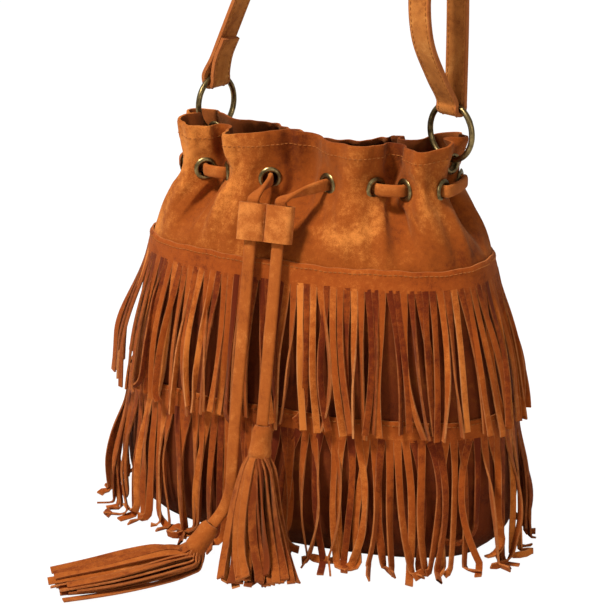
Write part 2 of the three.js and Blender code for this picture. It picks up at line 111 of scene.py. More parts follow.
def spline(points, per_span):
    """A smooth curve through the points, with per_span steps in each span."""
    points = np.asarray(points, float)
    ends = np.vstack([2 * points[0] - points[1], points, 2 * points[-1] - points[-2]])
    weight = np.arange(per_span)[:, None] / per_span
    out = []
    for k in range(len(points) - 1):
        p0, p1, p2, p3 = ends[k : k + 4]
        pairs = ((p0, p1), (p1, p2), (p2, p3))
        d0, d1, d2 = (max(np.linalg.norm(b - a), 1e-4) ** 0.5 for a, b in pairs)
        m1 = ((p1 - p0) / d0 - (p2 - p0) / (d0 + d1) + (p2 - p1) / d1) * d1
        m2 = ((p2 - p1) / d1 - (p3 - p1) / (d1 + d2) + (p3 - p2) / d2) * d1
        square = 3 * (p2 - p1) - 2 * m1 - m2
        cube = 2 * (p1 - p2) + m1 + m2
        out.append(p1 + m1 * weight + square * weight**2 + cube * weight**3)
    return np.vstack([*out, points[-1:]])


def spread(values, per_span):
    """Values between stations, in step with spline."""
    values = np.asarray(values, float)
    at = np.linspace(0, len(values) - 1, (len(values) - 1) * per_span + 1)
    rows = values.reshape(len(values), -1)
    found = [np.interp(at, np.arange(len(values)), rows[:, k]) for k in range(rows.shape[1])]
    return np.stack(found, axis=1).reshape((len(at),) + values.shape[1:])


silhouette = spline(LEVELS, 200)
ovals = {}


def oval(shares, rise):
    """Points of the plain outline at a level.

    Shares are parts of the way round, from the middle of the front.
    """
    if rise not in ovals:
        wide = np.interp(rise, silhouette[:, 2], silhouette[:, 0])
        deep = np.interp(rise, silhouette[:, 2], silhouette[:, 1])
        turn = np.linspace(0, 2 * math.pi, 721)
        x = wide * signed_power(np.sin(turn), 2 / OVAL_POWER)
        y = -deep * signed_power(np.cos(turn), 2 / OVAL_POWER)
        length = np.concatenate([[0], np.cumsum(np.hypot(np.diff(x), np.diff(y)))])
        ovals[rise] = (x, y, length)
    x, y, length = ovals[rise]
    goal = np.mod(shares, 1) * length[-1]
    return np.stack([np.interp(goal, length, x), np.interp(goal, length, y)], axis=-1)


def outward_of(place, shares, rise):
    along = unit(place(shares + 0.003, rise) - place(shares - 0.003, rise))
    return np.stack([along[..., 1], -along[..., 0]], axis=-1)


def ridge_shape(shares):
    wrapped = shares - np.floor(shares - RIDGES[0])
    index = np.clip(np.searchsorted(VALLEYS, wrapped, side="right") - 1, 0, len(RIDGES) - 1)
    return np.cos(2 * math.pi * (wrapped - VALLEYS[index]) / (VALLEYS[index + 1] - VALLEYS[index]))


def folded(shares, rise):
    depth = FOLD_DEPTH + (MOUTH_FOLD - FOLD_DEPTH) * smoothstep(rise, NECK_RISE, BAG_HEIGHT)
    fold = smoothstep(rise, SEAM_RISE, NECK_RISE) * depth * ridge_shape(shares)
    return oval(shares, rise) + outward_of(oval, shares, rise) * fold[..., None]


def wall(shares, rise, outset=0.0):
    """Points and outward directions of the wall's middle, moved out by outset."""
    shares = np.atleast_1d(np.asarray(shares, float))
    out = outward_of(folded, shares, rise)
    at = folded(shares, rise) + out * np.broadcast_to(outset, shares.shape)[:, None]
    level = np.full((len(shares), 1), float(rise))
    return np.hstack([at, level]), np.hstack([out, level * 0])


class Shape:
    """Gathers the surfaces of one piece."""

    def __init__(self):
        self.points, self.faces, self.kinds, self.tones, self.count = [], [], [], [], 0

    def add(self, points, faces, kinds, tone=0.0):
        self.points.append(points)
        self.faces += [[i + self.count for i in face] for face in faces]
        self.kinds += kinds
        self.tones.append(np.broadcast_to(tone, len(points)))
        self.count += len(points)

    def levels(self):
        heights = np.vstack(self.points)[:, 2]
        return [heights[face[0]] for face in self.faces]

    def make(self, name, materials, body, nodes=(), sharp=42):
        mesh = bpy.data.meshes.new(name)
        mesh.from_pydata((np.vstack(self.points) * MM).tolist(), [], self.faces)
        for material in materials:
            mesh.materials.append(material)
        mesh.polygons.foreach_set("material_index", self.kinds)
        mesh.shade_smooth()
        mesh.set_sharp_from_angle(angle=math.radians(sharp))
        tone = mesh.attributes.new("tone", "FLOAT", "POINT")
        tone.data.foreach_set("value", np.concatenate(self.tones))
        mesh.update()
        piece = bpy.data.objects.new(name, mesh)
        bpy.context.collection.objects.link(piece)
        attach(piece, body)
        if nodes:
            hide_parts(*nodes)
        return piece


# Sections of swept pieces, across a width and thickness of 1

FLAT = [
    (-0.5, -0.42), (-0.44, -0.5), (0, -0.5), (0.44, -0.5), (0.5, -0.42),
    (0.5, 0.42), (0.44, 0.5), (0, 0.5), (-0.44, 0.5), (-0.5, 0.42),
]
FLAT_KINDS = [1, 0, 0, 1, 1, 1, 0, 0, 1, 1]
THREAD_SECTION = [(0.5, 0), (0, 0.5), (-0.5, 0), (0, -0.5)]


def pillow(count=18):
    turn = np.linspace(0, 2 * math.pi, count, endpoint=False)
    return list(zip(0.5 * signed_power(np.cos(turn), 0.6), 0.5 * signed_power(np.sin(turn), 0.75)))


def tube_faces(rounds, count, closed=False):
    """Faces between neighbouring rounds of count points each."""
    faces = []
    for k in range(rounds if closed else rounds - 1):
        here, there = k * count, (k + 1) % rounds * count
        for i in range(count):
            j = (i + 1) % count
            faces.append((here + i, here + j, there + j, there + i))
    return faces


def add_sweep(shape, path, wide, width, thick, section, kinds, tone=0.0):
    """A closed sweep of the section along the path."""
    along = unit(np.gradient(path, axis=0))
    wide = np.broadcast_to(wide, path.shape)
    wide = unit(wide - along * (wide * along).sum(axis=1, keepdims=True))
    thin = np.cross(along, wide)
    width = np.broadcast_to(width, len(path))[:, None, None]
    thick = np.broadcast_to(thick, len(path))[:, None, None]
    section = np.asarray(section)
    points = path[:, None] + wide[:, None] * width * section[None, :, :1]
    points = points + thin[:, None] * thick * section[None, :, 1:]
    count = len(section)
    faces = tube_faces(len(path), count)
    last = (len(path) - 1) * count
    faces.append(tuple(range(count - 1, -1, -1)))
    faces.append(tuple(range(last, last + count)))
    tone = np.repeat(np.broadcast_to(tone, len(path)), count)
    shape.add(points.reshape(-1, 3), faces, list(kinds) * (len(path) - 1) + [max(kinds)] * 2, tone)


def add_grid(shape, inner, outer, kinds, present=None, tones=0.0):
    """A sheet between two skins. kinds are the inner, outer and edge materials."""
    columns, rows = outer.shape[:2]
    tones = np.tile(np.broadcast_to(tones, (columns, rows)).reshape(-1), 2)
    if present is None:
        present = np.ones((columns - 1, rows - 1), bool)
    edged = np.pad(present, 1)
    index = np.arange(columns * rows).reshape(columns, rows)
    skin = columns * rows
    faces, found = [], []
    for i, j in zip(*np.nonzero(present)):
        a, b, c, d = index[i, j], index[i + 1, j], index[i + 1, j + 1], index[i, j + 1]
        faces.append((a + skin, b + skin, c + skin, d + skin))
        faces.append((a, d, c, b))
        found += [kinds[1], kinds[0]]
        beside = (edged[i + 1, j], edged[i + 2, j + 1], edged[i + 1, j + 2], edged[i, j + 1])
        for (start, end), shared in zip(((a, b), (b, c), (c, d), (d, a)), beside):
            if not shared:
                faces.append((start, end, end + skin, start + skin))
                found.append(kinds[2])
    points = np.vstack([inner.reshape(-1, 3), outer.reshape(-1, 3)])
    used = np.unique(np.concatenate([np.asarray(face) for face in faces]))
    renumber = np.zeros(len(points), int)
    renumber[used] = np.arange(len(used))
    shape.add(points[used], [[renumber[i] for i in face] for face in faces], found, tones[used])


def add_stitches(shape, path, out, pitch=3.4, long=2.3, thread=0.62):
    """Thread showing as short dashes along a path, each end dipping into the surface."""
    steps = np.linalg.norm(np.diff(path, axis=0), axis=1)
    length = np.concatenate([[0], np.cumsum(steps)])
    for start in np.arange(pitch, length[-1] - pitch, pitch):
        goal = start + np.array([-0.5, -0.3, 0, 0.3, 0.5]) * long
        at = np.stack([np.interp(goal, length, path[:, k]) for k in range(3)], axis=1)
        up = unit(np.array([np.interp(start, length, out[:, k]) for k in range(3)]))
        at = at + up * np.array([-0.3, 0.16, 0.26, 0.16, -0.3])[:, None]
        add_sweep(shape, at, np.cross(at[-1] - at[0], up), thread, thread, THREAD_SECTION, [0] * 4)


# Materials

PATCH_WEIGHT = 1.25
MOTTLE_WEIGHT = 0.6
GRAIN_WEIGHT = 0.7


def node(tree, kind, **inputs):
    made = tree.nodes.new(kind)
    for name, value in inputs.items():
        made.inputs[name.replace("_", " ")].default_value = value
    return made


def start_material(name):
    material = bpy.data.materials.new(name)
    material.use_nodes = True
    tree = material.node_tree
    return material, tree, tree.nodes["Principled BSDF"]


def add_noise(tree, place, **inputs):
    texture = node(tree, "ShaderNodeTexNoise", **inputs)
    tree.links.new(place, texture.inputs["Vector"])
    return texture.outputs["Fac"]


def add_ramp(tree, value, stops, blend="LINEAR"):
    """The colour at a value, between stops of a place and a colour."""
    ramp = tree.nodes.new("ShaderNodeValToRGB")
    ramp.color_ramp.interpolation = blend
    elements = ramp.color_ramp.elements
    for element, (place, colour) in zip(elements, (stops[0], stops[-1])):
        element.position = place
        element.color = (*colour, 1)
    for place, colour in stops[1:-1]:
        elements.new(place).color = (*colour, 1)
    tree.links.new(value, ramp.inputs["Fac"])
    return ramp.outputs["Color"]


def add_bump(tree, shader, height, strength, distance):
    bump = node(tree, "ShaderNodeBump", Strength=strength, Distance=distance)
    tree.links.new(height, bump.inputs["Height"])
    tree.links.new(bump.outputs["Normal"], shader.inputs["Normal"])


def weigh(tree, value, gain, base):
    """value * gain + base, where base is a number or another value."""
    made = tree.nodes.new("ShaderNodeMath")
    made.operation = "MULTIPLY_ADD"
    tree.links.new(value, made.inputs[0])
    made.inputs[1].default_value = gain
    if isinstance(base, float):
        made.inputs[2].default_value = base
    else:
        tree.links.new(base, made.inputs[2])
    return made.outputs[0]


def suede(name, dark, middle, light, patch=26.0, patch_gain=1.0):
    """Napped suede: brushed patches, mottling and a fine raised grain."""
    material, tree, shader = start_material(name)
    place = tree.nodes.new("ShaderNodeTexCoord").outputs["Object"]
    patches = add_noise(tree, place, Scale=patch, Detail=4.0, Roughness=0.55, Distortion=0.9)
    mottle = add_noise(tree, place, Scale=260.0, Detail=4.0, Roughness=0.7)
    grain = add_noise(tree, place, Scale=1900.0, Detail=3.0, Roughness=0.75)
    # The tone attribute shifts the colour: random tone per piece, plus painted light and shade on
    # the wall folds and fringe strips.
    tone = tree.nodes.new("ShaderNodeAttribute")
    tone.attribute_name = "tone"
    patch_weight = PATCH_WEIGHT * patch_gain
    level = 0.5 - (patch_weight + MOTTLE_WEIGHT + GRAIN_WEIGHT) / 2
    mixed = weigh(tree, patches, patch_weight, level)
    mixed = weigh(tree, mottle, MOTTLE_WEIGHT, mixed)
    mixed = weigh(tree, grain, GRAIN_WEIGHT, mixed)
    mixed = weigh(tree, tone.outputs["Fac"], 1.0, mixed)
    colour = add_ramp(tree, mixed, [(0.08, dark), (0.5, middle), (0.92, light)], "EASE")
    tree.links.new(colour, shader.inputs["Base Color"])
    tree.links.new(weigh(tree, mottle, 0.15, 0.83), shader.inputs["Roughness"])
    shader.inputs["Specular IOR Level"].default_value = 0.12
    shader.inputs["Sheen Weight"].default_value = 0.12
    shader.inputs["Sheen Roughness"].default_value = 0.45
    shader.inputs["Sheen Tint"].default_value = (1.0, 0.55, 0.25, 1)
    add_bump(tree, shader, weigh(tree, mottle, 0.8, grain), 0.55, 0.0007)
    return material


def brass():
    """Aged brass: dull in some patches, rubbed bright in others."""
    material, tree, shader = start_material("antique_brass")
    place = tree.nodes.new("ShaderNodeTexCoord").outputs["Object"]
    cloud = add_noise(tree, place, Scale=230.0, Detail=6.0, Roughness=0.7)
    scratch = add_noise(tree, place, Scale=1500.0, Detail=3.0, Roughness=0.6)
    colour = add_ramp(tree, cloud, [(0.33, (0.06, 0.04, 0.016)), (0.68, (0.36, 0.25, 0.1))])
    tree.links.new(colour, shader.inputs["Base Color"])
    rough = node(tree, "ShaderNodeMapRange", From_Min=0.3, From_Max=0.7, To_Min=0.46, To_Max=0.26)
    tree.links.new(cloud, rough.inputs["Value"])
    tree.links.new(rough.outputs["Result"], shader.inputs["Roughness"])
    shader.inputs["Metallic"].default_value = 1.0
    add_bump(tree, shader, scratch, 0.18, 0.0003)
    return material


WALL = suede(
    "suede_wall", (0.11, 0.016, 0.0012), (0.265, 0.054, 0.0046), (0.6, 0.19, 0.033),
    patch=15.0, patch_gain=1.15,
)
# Painted shade: a darker copy of the wall's suede for the wall's inner skin, standing in for the
# shadow inside the bag.
SHADED_INSIDE = suede(
    "suede_inside_painted_shade", (0.09, 0.017, 0.002), (0.15, 0.032, 0.004), (0.24, 0.06, 0.01),
    patch=30.0,
)
# Painted shade: a dark copy of the wall's suede for the wall behind the fringe strips, standing in
# for their shadow.
SHADE = suede(
    "suede_painted_shade_under_fringe", (0.06, 0.007, 0.0006), (0.13, 0.02, 0.002), (0.2, 0.045, 0.005),
    patch=40.0,
)
FRINGE_FACE = suede(
    "suede_fringe", (0.11, 0.012, 0.0009), (0.3, 0.056, 0.005), (0.56, 0.155, 0.024),
    patch=24.0, patch_gain=0.7,
)
CUT = suede(
    "suede_cut_edge", (0.2, 0.04, 0.007), (0.36, 0.1, 0.022), (0.54, 0.19, 0.055),
    patch=120.0, patch_gain=0.6,
)
LACE = suede(
    "suede_lace", (0.16, 0.026, 0.003), (0.34, 0.08, 0.0105), (0.58, 0.185, 0.036),
    patch=40.0, patch_gain=0.8,
)
STRAP = suede(
    "suede_strap", (0.2, 0.045, 0.006), (0.45, 0.145, 0.026), (0.7, 0.3, 0.075),
    patch=36.0,
)
THREAD = suede(
    "thread", (0.2, 0.05, 0.01), (0.32, 0.095, 0.018), (0.46, 0.17, 0.04),
    patch=300.0, patch_gain=0.5,
)
BRASS = brass()

# Eyelet places: two in each valley for the lace, and one at each side for a ring


def share_in(index, phase):
    return VALLEYS[index] + (VALLEYS[index + 1] - VALLEYS[index]) * phase


LACE_PHASES = [(0.25, 0.75)] * len(RIDGES)
LACE_PHASES[0] = (0.22, 0.6)
LACE_PHASES[5] = (0.22, 0.78)
lace_shares = [share_in(k, phase) for k, pair in enumerate(LACE_PHASES) for phase in pair]
lace_places = [wall(share, NECK_RISE) for share in lace_shares]
ring_places = {
    "left": wall(share_in(0, 0.83), RING_EYELET_RISE),
    "right": wall(share_in(5, 0.56), RING_EYELET_RISE),
}
all_centres = np.vstack([at for at, out in [*lace_places, *ring_places.values()]])

# Drawstring: its two free ends hang in front, and the rest runs round the neck

LACE_WIDTH = 8.4
LACE_THICK = 3.6
LACE_PASS = 5
LACE_CENTRE = -14
LACE_SPACING = 20
STOP_HEIGHT = 25
line_top = np.array([LACE_CENTRE, -61.46, 236])
line_foot = np.array([LACE_CENTRE, -92, 104])
line_up = unit(line_top - line_foot)
LEFT_LACE_FOOT = [(-24, -97, 78), (-25, -99, 56), (-29, -102, 42), (-35, -107, 32)]


def hanging(sign, below):
    shift = ACROSS * sign * LACE_SPACING / 2
    line = [
        line_top + line_up * (STOP_HEIGHT / 2 + 3),
        line_top + line_up * STOP_HEIGHT / 2,
        line_top,
        (line_top + line_foot) / 2,
        line_top * 0.1 + line_foot * 0.9,
        line_foot,
    ]
    return [point + shift for point in line] + [np.array(point, float) for point in below]


left_hang = hanging(-1, LEFT_LACE_FOOT)
right_hang = hanging(1, [])
threaded = []
FIRST_EYELET = 6
for step in range(len(lace_places)):
    at, out = lace_places[(FIRST_EYELET - step) % len(lace_places)]
    into = 1 if step % 2 == 0 else -1
    threaded += [(at + out * reach * into)[0] for reach in (LACE_PASS, 0, -LACE_PASS)]
lace_stations = left_hang[::-1] + threaded + right_hang
lace_wides = [ACROSS] * len(left_hang) + [UP] * len(threaded) + [ACROSS] * len(right_hang)
LACE_STEPS = 8
lace_path = spline(lace_stations, LACE_STEPS)
lace_wide = spread(lace_wides, LACE_STEPS)
left_cut = len(left_hang) * LACE_STEPS
right_cut = (len(left_hang) + len(threaded) - 1) * LACE_STEPS


def lace_piece(name, path, wide):
    shape = Shape()
    section = pillow()
    add_sweep(shape, path, wide, LACE_WIDTH, LACE_THICK, section, [0] * len(section))
    return shape.make(name, [LACE], "bag", ["drawstring"], 60)


left_path = lace_path[: left_cut + 1][::-1]
right_path = lace_path[right_cut:]
lace_left = lace_piece("lace_end_left", left_path, lace_wide[: left_cut + 1][::-1])
lace_right = lace_piece("lace_end_right", right_path, lace_wide[right_cut:])
round_neck = slice(left_cut, right_cut + 1)
lace_piece("lace_round_neck", lace_path[round_neck], lace_wide[round_neck])

# Tassels: a wrapped cap, and a bundle of strips that splays towards the floor

CAP = 22
CAP_GAP = 0.3
BUNCH = 5
BULGE = 6
TASSEL_STRIPS = 32
GOLDEN_TURN = 0.381966
TASSEL_STRIP_WIDTH = 5.6
TASSEL_STRIP_THICK = 1.3
LEFT_TASSEL_PATH = [(-62, -132, 8.4), (-90, -159, 6), (-124, -187, 5.2)]
RIGHT_TASSEL_PATH = [(-4, -104, 48), (-2, -109, 22), (3, -119, 8.5), (10, -134, 5.4)]


def add_cap(name, end, along, node_name):
    """Suede rolled round the end of the lace: the outer layer's edge shows as a step."""
    shape = Shape()
    across = unit(np.cross(along, UP + ACROSS * 0.3))
    other = np.cross(along, across)
    turns = np.linspace(0, 1, 49)
    rises = np.linspace(0, 1, 15)
    rings = []
    for rise in rises:
        edge = 1 - 0.2 * (2 * rise - 1) ** 6
        radius = (6 + 1.5 * rise + 0.25 * math.sin(rise * 9)) * edge + 0.75 * turns
        turn = 2 * math.pi * (turns + 0.06 * rise)
        spot = across * np.cos(turn)[:, None] + other * np.sin(turn)[:, None]
        rings.append(end + along * (CAP_GAP + CAP * rise) + spot * radius[:, None])
    outer = np.stack(rings, axis=1)
    middle = end + along * (CAP_GAP + CAP * rises)[:, None]
    inner = middle[None] + (outer - middle[None]) * 0.55
    add_grid(shape, inner, outer, (0, 0, 1))
    return shape.make(name, [LACE, CUT], "bag", [node_name])


def add_strips(name, path, node_name, splay, seed):
    """Strips that leave the cap in a bunch and spread as they fall."""
    draw = np.random.default_rng(seed)
    shape = Shape()
    base = spline(path, 9)
    along = unit(np.gradient(base, axis=0))
    last = along[-1]
    flat = unit(np.array([-last[1], last[0], 0]))
    start = unit(np.cross(along[0], np.cross(ACROSS * np.sign(flat[0]), along[0])))
    part = np.linspace(0, 1, len(base))
    wide = unit(start + (flat - start) * part[:, None])
    thin = unit(np.cross(along, wide))
    for k in range(TASSEL_STRIPS):
        turn = 2 * math.pi * k * GOLDEN_TURN
        reach = math.sqrt((k + 0.5) / TASSEL_STRIPS)
        u, v = reach * math.cos(turn), reach * math.sin(turn)
        lean = draw.normal(0, 0.2)
        swing = draw.uniform(0.6, 3.0)
        wave = swing * np.sin(part * draw.uniform(4, 8) + draw.uniform(0, 6)) * part
        swell = BULGE * np.sin(math.pi * part)
        sideways = u * (BUNCH + (splay - BUNCH) * part**1.3 + swell)
        sideways = sideways + lean * 0.7 * splay * part**2 + wave
        upward = v * (BUNCH + swell - part)
        at = base + wide * sideways[:, None] + thin * upward[:, None]
        long = int(len(base) * draw.uniform(0.9, 1.0))
        spin = draw.uniform(-0.7, 0.7) * part
        spin = spin + ((turn + math.pi / 2) % math.pi) * (1 - part) ** 2
        faced = wide * np.cos(spin)[:, None] + thin * np.sin(spin)[:, None]
        lowest = 1 + np.abs(faced[:, 2]) * TASSEL_STRIP_WIDTH / 2 + 1.4 * (k % 4) * part
        at[:, 2] = np.maximum(at[:, 2], lowest)
        size = TASSEL_STRIP_WIDTH, TASSEL_STRIP_THICK
        add_sweep(shape, at[:long], faced[:long], *size, FLAT, FLAT_KINDS, draw.normal(-0.1, 0.2))
    return shape.make(name, [LACE, CUT], "bag", [node_name])


def tassel(sign, lace, below, splay, seed):
    along = unit(lace[-1] - lace[-9])
    cap = add_cap(f"tassel_wrap_{sign}", lace[-1], along, f"tassel_cap_{sign}")
    foot = lace[-1] + along * (CAP - 5)
    path = [foot, foot + along * 12, *below]
    strips = add_strips(f"tassel_bunch_{sign}", path, f"tassel_strips_{sign}", splay, seed)
    return [cap, strips]


left_tassel = tassel("left", left_path, LEFT_TASSEL_PATH, 20, 3)
right_tassel = tassel("right", right_path, RIGHT_TASSEL_PATH, 25, 5)


# The stop: one band folded into two channels and sewn between them

CHANNEL_OUTER = 9.9, 4.9
CHANNEL_INNER = 8.3, 3.2
CHANNEL_SHIFT = 9.75


def make_stop():
    shape = Shape()
    thread = Shape()
    front = np.cross(line_up, ACROSS)
    turn = np.linspace(0, 2 * math.pi, 49)
    rises = np.linspace(-0.5, 0.5, 13)
    for sign in (-1, 1):
        squeeze = 1 - 0.32 * smoothstep(-sign * np.cos(turn), 0.55, 1.0)
        outer, inner = [], []
        for rise in rises:
            swell = 1 + 0.05 * math.cos(rise * math.pi) - 0.04 * (2 * rise) ** 8
            middle = line_top + line_up * rise * STOP_HEIGHT
            for skin, (wide, deep) in ((outer, CHANNEL_OUTER), (inner, CHANNEL_INNER)):
                x = wide * signed_power(np.cos(turn), 0.55) + sign * CHANNEL_SHIFT
                y = deep * swell * signed_power(np.sin(turn), 0.6) * squeeze
                skin.append(middle + x[:, None] * ACROSS + y[:, None] * front)
        add_grid(shape, np.stack(inner, axis=1), np.stack(outer, axis=1), (0, 0, 1), tones=0.16)
    for face in (-1, 1):
        rises = np.linspace(-0.47, 0.47, 20)[:, None] * STOP_HEIGHT
        run = line_top + front * face * 3.1 + line_up * rises
        add_stitches(thread, run, np.broadcast_to(front * face, run.shape), 3.0, 2.2, 0.7)
    shape.make("stop_band", [LACE, CUT], "lace_stop", ["lace_stop"])
    thread.make("stop_thread", [THREAD], "lace_stop")


make_stop()

# Walls: gathered from the seam to the neck, with a turned hem round the mouth

HEM = 12
WALL_SHARE = 0.2503
HOLE = 5.7
HEM_PROUD = 0.55
STITCH_CLEAR = 10
wall_rows = np.concatenate(
    [np.arange(0, 24, 4), np.arange(24, 204, 9), np.arange(204, BAG_HEIGHT + 0.1, 1.75)]
)
creases = []
for _ in range(9):
    count, phase = rng.integers(14, 46), rng.uniform(0, 6.28)
    slant, depth = rng.uniform(-0.05, 0.05), rng.uniform(0.4, 0.95)
    creases.append((count, phase, slant, depth))


def from_eyelets(points):
    """How far each point is from the nearest eyelet's centre."""
    return np.linalg.norm(points[..., None, :] - all_centres, axis=-1).min(axis=-1)


def crumple(shares, rise, points):
    """Small creases that fade out at the eyelets and below the seam."""
    near = from_eyelets(points)
    amount = smoothstep(near, 8.5, 17) * smoothstep(rise, 196, 232)
    waves = sum(a * np.cos(2 * math.pi * f * shares + p + g * rise) for f, p, g, a in creases)
    ridge = ridge_shape(shares)
    pinch = 3.2 * smoothstep(ridge, 0.3, 1) - 5.4 * smoothstep(-ridge, 0.4, 1)
    return amount * (waves + pinch * smoothstep(rise, 206, 248)), smoothstep(near, 8.5, 11)


def rim_sag(shares, rise, out):
    """The mouth's edge stands up at the left ring, and at the back it sags into the bag."""
    edge = smoothstep(rise, BAG_HEIGHT - 20, BAG_HEIGHT)
    behind = smoothstep(-np.cos(2 * math.pi * shares), 0.25, 0.95) * edge
    left = np.exp(-((np.mod(shares, 1) - 0.765) / 0.035) ** 2) * edge
    turn = 2 * math.pi * shares
    lift = 1.5 * np.cos(3 * turn + 0.7) + 1.1 * np.cos(7 * turn + 2)
    return UP * (lift * edge + 5 * left - 8 * behind)[:, None] - out * (9 * behind)[:, None]


def draped(shares, rise):
    """The wall's middle with its sagging rim, its outward way, creases and room round eyelets."""
    points, out = wall(shares, rise)
    bump, clear = crumple(shares, rise, points)
    return points + rim_sag(shares, rise, out), out, bump, clear


def make_wall(name, middle, node_name):
    shares = middle + np.linspace(-WALL_SHARE, WALL_SHARE, 300)
    ridge = ridge_shape(shares)
    # Painted light and shade: the wall is lighter on the fold ridges and darker in the fold
    # valleys, fading in from the seam towards the neck.
    painted_fold_shade = 0.1 * ridge - 0.08 * smoothstep(-ridge, 0.45, 1)
    inner, outer, centre, tones = [], [], [], []
    for rise in wall_rows:
        points, out, bump, clear = draped(shares, rise)
        hem = HEM_PROUD * smoothstep(rise, BAG_HEIGHT - HEM - 1, BAG_HEIGHT - HEM + 1) * clear
        rounding = 0.5 * smoothstep(rise, BAG_HEIGHT - 1.5, BAG_HEIGHT)
        centre.append(points)
        tones.append(painted_fold_shade * smoothstep(rise, SEAM_RISE, NECK_RISE - 12))
        outer.append(points + out * (SUEDE / 2 + bump + hem - rounding)[:, None])
        inner.append(points + out * (-SUEDE / 2 + bump + rounding)[:, None])
    centre = np.stack(centre, axis=1)
    cells = (centre[:-1, :-1] + centre[1:, :-1] + centre[:-1, 1:] + centre[1:, 1:]) / 4
    shape = Shape()
    skins = np.stack(inner, axis=1), np.stack(outer, axis=1)
    add_grid(shape, *skins, (1, 0, 0), from_eyelets(cells) > HOLE, np.stack(tones, axis=1))
    # Painted shade: outer faces below the fringe seam take the dark SHADE material, for the shadow
    # under the fringe.
    for index, level in enumerate(shape.levels()):
        if shape.kinds[index] == 0 and level < SEAM_RISE - 8:
            shape.kinds[index] = 2
    piece = shape.make(name, [WALL, SHADED_INSIDE, SHADE], "bag", [node_name], 60)
    points, out, bump, clear = draped(shares, BAG_HEIGHT - HEM + 3.5)
    hem_line = points + out * (SUEDE / 2 + HEM_PROUD + bump)[:, None]
    thread = Shape()
    keep = from_eyelets(points) > STITCH_CLEAR
    runs = np.split(np.arange(len(shares)), np.nonzero(np.diff(keep.astype(int)))[0] + 1)
    for run in runs:
        if keep[run[0]] and len(run) > 6:
            add_stitches(thread, hem_line[run], out[run])
    thread.make(f"{name}_hem_thread", [THREAD], "bag")
    return piece


front_wall = make_wall("wall_front", 0.0, "front_panel")
back_wall = make_wall("wall_back", 0.5, "back_panel")

# Fringe: a stitched band cut into strips that hang over the belly

BAND = 14
STRIPS = 66
FRINGE = 1.4
FRINGE_GAP = 0.5
STRIP_LENGTH = 112
FRINGE_IN = SUEDE / 2 + FRINGE_GAP
STITCH_DROP = 2.6
GIRTH = 720
FLOOR_CLEAR = 0.8
TIP_CLEAR = 1.2
FOOT_REACH = 7
FRONT_FOOT_REACH = 9
SIDE_LIMIT = 163
BACK_LIMIT = 86
FRONT_STRAYS = [(52, 5), (34, 3)]
BACK_STRAYS = [(2, 6), (6, 3)]


def around(shares, rise, outset):
    """A point for each share and level, on the wall above the belly and straight below it."""
    points, outs = [], []
    for share, level, stand in zip(shares, rise, outset):
        point, out = wall(share, float(round(max(level, BELLY_RISE), 1)), stand)
        point[0, 2] = level
        points.append(point[0])
        outs.append(out[0])
    return np.array(points), np.array(outs)


def strip_path(share, top, length, stand, sway, curl, bowed, draw):
    """The middle and outer face of a strip: down the wall, curling aside or out on the floor."""
    turn_out = draw.uniform(3.5, 7)
    fall = top - turn_out - FLOOR_CLEAR
    steps = np.linspace(BAND - 1.5, length, 26)
    tight = draw.uniform(8, 14)
    round_by = np.maximum(steps - (length - tight * abs(curl)), 0) / tight
    down = steps - round_by * tight + tight * np.sin(round_by)
    hang = np.clip((np.minimum(down, fall) - BAND) / (STRIP_LENGTH - BAND), 0, 1)
    bend = np.clip((down - fall) / turn_out, 0, math.pi / 2)
    reach = FOOT_REACH + FRONT_FOOT_REACH * max(0, math.cos(2 * math.pi * share))
    beyond = np.clip(down - fall - turn_out * math.pi / 2, 0, reach)
    level = top - np.minimum(down, fall) - turn_out * np.sin(bend)
    flat = turn_out * (1 - np.cos(bend)) + beyond
    ripple = draw.normal(0, 0.8) * np.sin(hang * draw.uniform(3, 7) + draw.uniform(0, 6)) * hang
    bow = draw.normal(0, bowed) * np.sin(math.pi * hang ** draw.uniform(0.7, 1.4))
    aside = sway * hang**1.7 + bow + flat * draw.uniform(-0.7, 0.7)
    aside = aside + np.sign(curl) * tight * (1 - np.cos(round_by))
    outset = FRINGE_IN + FRINGE / 2 + stand * smoothstep(hang, 0, 0.7)
    outset = outset + np.maximum(ripple, -0.4) + flat
    path, out = around(share + aside / GIRTH, level, outset)
    path[:, 0] = np.clip(path[:, 0], -SIDE_LIMIT, SIDE_LIMIT)
    path[:, 1] = np.minimum(path[:, 1], BACK_LIMIT)
    return path, unit(out * np.cos(bend)[:, None] + UP * np.sin(bend)[:, None])


